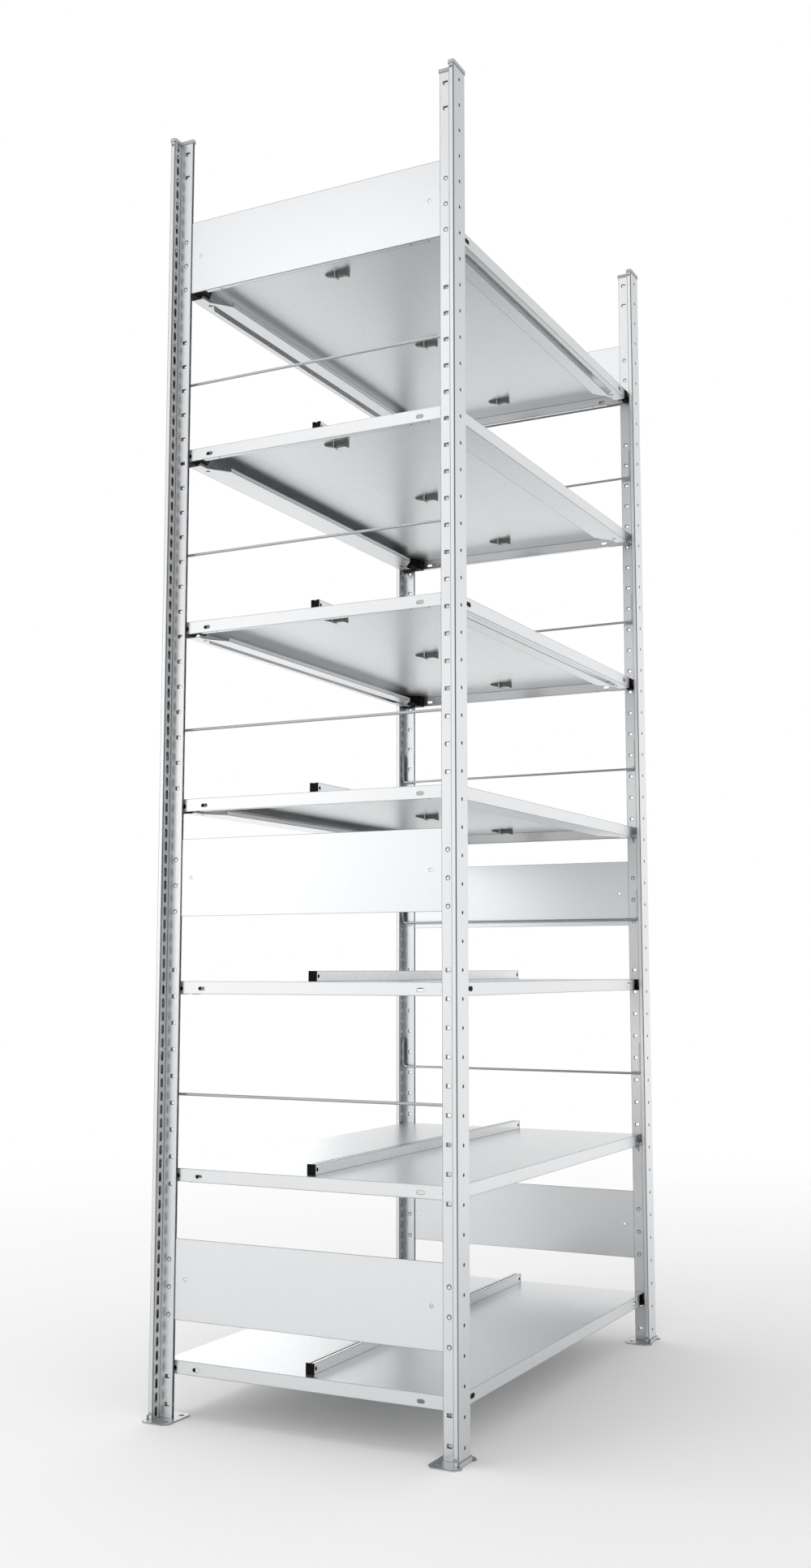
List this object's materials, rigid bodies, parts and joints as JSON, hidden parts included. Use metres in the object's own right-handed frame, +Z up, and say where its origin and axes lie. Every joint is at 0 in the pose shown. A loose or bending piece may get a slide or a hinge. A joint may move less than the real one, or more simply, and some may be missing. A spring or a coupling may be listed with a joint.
{
  "type": "shelving unit",
  "caption": "Double-sided boltless archive shelving unit of galvanised sheet steel, with perforated posts, lift-off shelves, stop rails, side wires and brace panels.",
  "frame": {"origin": "on the floor, in the middle of the unit's footprint", "axes": "+X along the shelves, +Y through the depth, +Z up"},
  "size_m": [1.085, 0.649, 2.506],
  "materials": {
    "galvanised_post": "satin galvanised",
    "galvanised_plate": "satin galvanised",
    "galvanised_panel": "satin galvanised",
    "galvanised_shelf": "satin galvanised",
    "galvanised_rail": "satin galvanised",
    "bright_wire": "bright zinc",
    "grey_plastic": "matt",
    "dark_plastic": "satin",
    "black_plastic": "satin"
  },
  "bodies": {
    "frame": {"foot_plate_left_back": "galvanised_plate", "foot_plate_left_front": "galvanised_plate", "foot_plate_right_back": "galvanised_plate", "foot_plate_right_front": "galvanised_plate", "frame_panel_left_bottom": "galvanised_panel", "frame_panel_left_middle": "galvanised_panel", "frame_panel_left_top": "galvanised_panel", "frame_panel_right_bottom": "galvanised_panel", "frame_panel_right_middle": "galvanised_panel", "frame_panel_right_top": "galvanised_panel", "shelf_clips_1": "black_plastic", "shelf_clips_2": "black_plastic", "shelf_clips_3": "black_plastic", "shelf_clips_4": "black_plastic", "shelf_clips_5": "black_plastic", "shelf_clips_6": "black_plastic", "shelf_clips_7": "black_plastic", "side_wires_2": "bright_wire", "side_wires_3": "bright_wire", "side_wires_4": "bright_wire", "side_wires_5": "bright_wire", "side_wires_6": "bright_wire", "top_cap_left_back": "grey_plastic", "top_cap_left_front": "grey_plastic", "top_cap_right_back": "grey_plastic", "top_cap_right_front": "grey_plastic", "upright_left_back": "galvanised_post", "upright_left_front": "galvanised_post", "upright_right_back": "galvanised_post", "upright_right_front": "galvanised_post"},
    "shelf_body_1": {"shelf_1": "galvanised_shelf", "stop_rail_1": "galvanised_rail", "rail_wedges_1": "dark_plastic", "black_caps_1": "black_plastic"},
    "shelf_body_2": {"shelf_2": "galvanised_shelf", "stop_rail_2": "galvanised_rail", "rail_wedges_2": "dark_plastic", "black_caps_2": "black_plastic"},
    "shelf_body_3": {"shelf_3": "galvanised_shelf", "stop_rail_3": "galvanised_rail", "rail_wedges_3": "dark_plastic", "black_caps_3": "black_plastic"},
    "shelf_body_4": {"shelf_4": "galvanised_shelf", "stop_rail_4": "galvanised_rail", "rail_wedges_4": "dark_plastic", "black_caps_4": "black_plastic"},
    "shelf_body_5": {"shelf_5": "galvanised_shelf", "stop_rail_5": "galvanised_rail", "rail_wedges_5": "dark_plastic", "black_caps_5": "black_plastic"},
    "shelf_body_6": {"shelf_6": "galvanised_shelf", "stop_rail_6": "galvanised_rail", "rail_wedges_6": "dark_plastic", "black_caps_6": "black_plastic"},
    "shelf_body_7": {"shelf_7": "galvanised_shelf", "stop_rail_7": "galvanised_rail", "rail_wedges_7": "dark_plastic", "black_caps_7": "black_plastic"}
  },
  "joints": [
    {"name": "shelf_1_lift", "type": "slide", "parent": "frame", "child": "shelf_body_1", "axis": [0, 0, 1], "range_m": [0, 0.06]},
    {"name": "shelf_2_lift", "type": "slide", "parent": "frame", "child": "shelf_body_2", "axis": [0, 0, 1], "range_m": [0, 0.06]},
    {"name": "shelf_3_lift", "type": "slide", "parent": "frame", "child": "shelf_body_3", "axis": [0, 0, 1], "range_m": [0, 0.06]},
    {"name": "shelf_4_lift", "type": "slide", "parent": "frame", "child": "shelf_body_4", "axis": [0, 0, 1], "range_m": [0, 0.06]},
    {"name": "shelf_5_lift", "type": "slide", "parent": "frame", "child": "shelf_body_5", "axis": [0, 0, 1], "range_m": [0, 0.06]},
    {"name": "shelf_6_lift", "type": "slide", "parent": "frame", "child": "shelf_body_6", "axis": [0, 0, 1], "range_m": [0, 0.06]},
    {"name": "shelf_7_lift", "type": "slide", "parent": "frame", "child": "shelf_body_7", "axis": [0, 0, 1], "range_m": [0, 0.06]}
  ]
}
